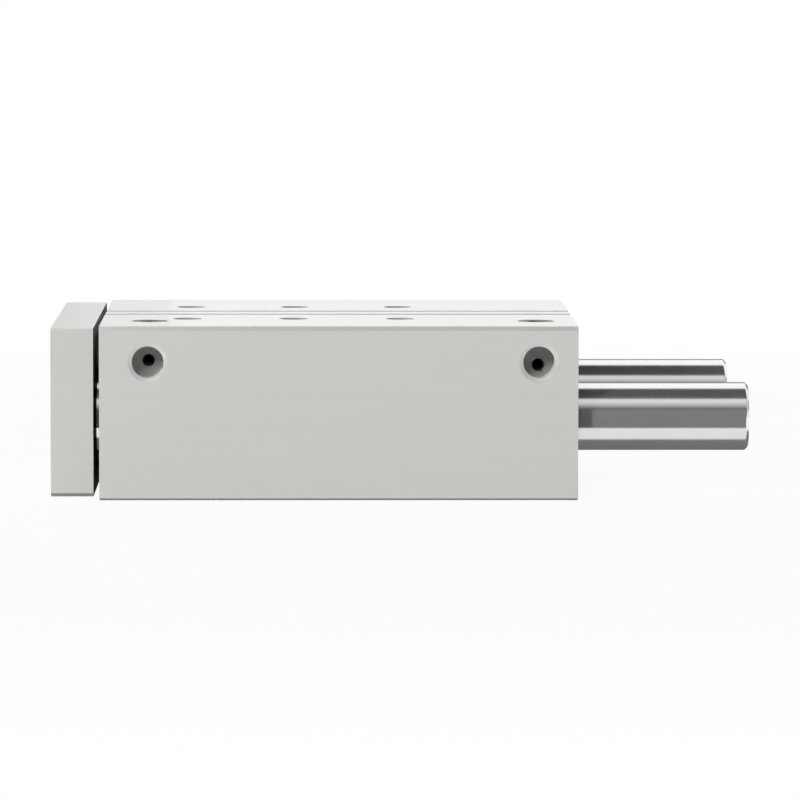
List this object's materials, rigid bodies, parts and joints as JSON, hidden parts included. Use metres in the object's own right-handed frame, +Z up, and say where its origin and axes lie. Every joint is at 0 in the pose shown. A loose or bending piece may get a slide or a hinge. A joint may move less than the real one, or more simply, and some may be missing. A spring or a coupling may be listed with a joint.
{
  "type": "guided pneumatic cylinder",
  "caption": "Block-shaped guided pneumatic cylinder: an aluminium housing carries the piston drive and plain-bearing guide rods, which slide together with a yoke plate at the front.",
  "frame": {"origin": "middle of the housing's underside", "axes": "+X along the rods from the yoke plate to the rear, +Y from the port side to the far side, +Z up out of the slotted face"},
  "size_m": [0.2047, 0.112, 0.051],
  "materials": {
    "anodised_aluminium": "natural anodised, satin, fine extrusion lines",
    "turned_aluminium": "turned, anodised",
    "ground_steel": "hardened, ground and polished",
    "stainless_steel": "ground",
    "spring_steel": "blackened",
    "zinc_steel": "zinc plated",
    "black_steel": "blackened, rough",
    "bearing_bronze": "plain bearing, dull",
    "bearing_plastic": "matte",
    "bonded_magnet": "matte",
    "seal_rubber": "matte black",
    "bumper_rubber": "matte dark grey"
  },
  "bodies": {
    "housing": {"housing": "anodised_aluminium", "rod_collar": "turned_aluminium", "rod_bush": "bearing_bronze", "rod_seal": "seal_rubber", "collar_gasket": "seal_rubber", "collar_retaining_ring": "spring_steel", "head_cover": "turned_aluminium", "head_gasket": "seal_rubber", "head_retaining_ring": "spring_steel", "front_bush_near": "bearing_bronze", "front_bush_far": "bearing_bronze", "rear_bush_near": "bearing_bronze", "rear_bush_far": "bearing_bronze", "rod_wiper_near": "seal_rubber", "rod_wiper_far": "seal_rubber", "front_port_plug": "black_steel", "rear_port_plug": "black_steel"},
    "slide": {"yoke_plate": "anodised_aluminium", "guide_rod_near": "ground_steel", "guide_rod_far": "ground_steel", "piston_rod": "stainless_steel", "piston_front": "turned_aluminium", "piston_rear": "turned_aluminium", "piston_magnet": "bonded_magnet", "piston_guide_ring": "bearing_plastic", "front_piston_seal": "seal_rubber", "rear_piston_seal": "seal_rubber", "front_bumper": "bumper_rubber", "rear_bumper": "bumper_rubber", "piston_screw": "zinc_steel", "plate_screw_near": "zinc_steel", "plate_screw_middle": "zinc_steel", "plate_screw_far": "zinc_steel"}
  },
  "joints": [
    {"name": "plate_stroke", "type": "slide", "parent": "housing", "child": "slide", "axis": [-1, 0, 0], "range_m": [0, 0.1]}
  ]
}
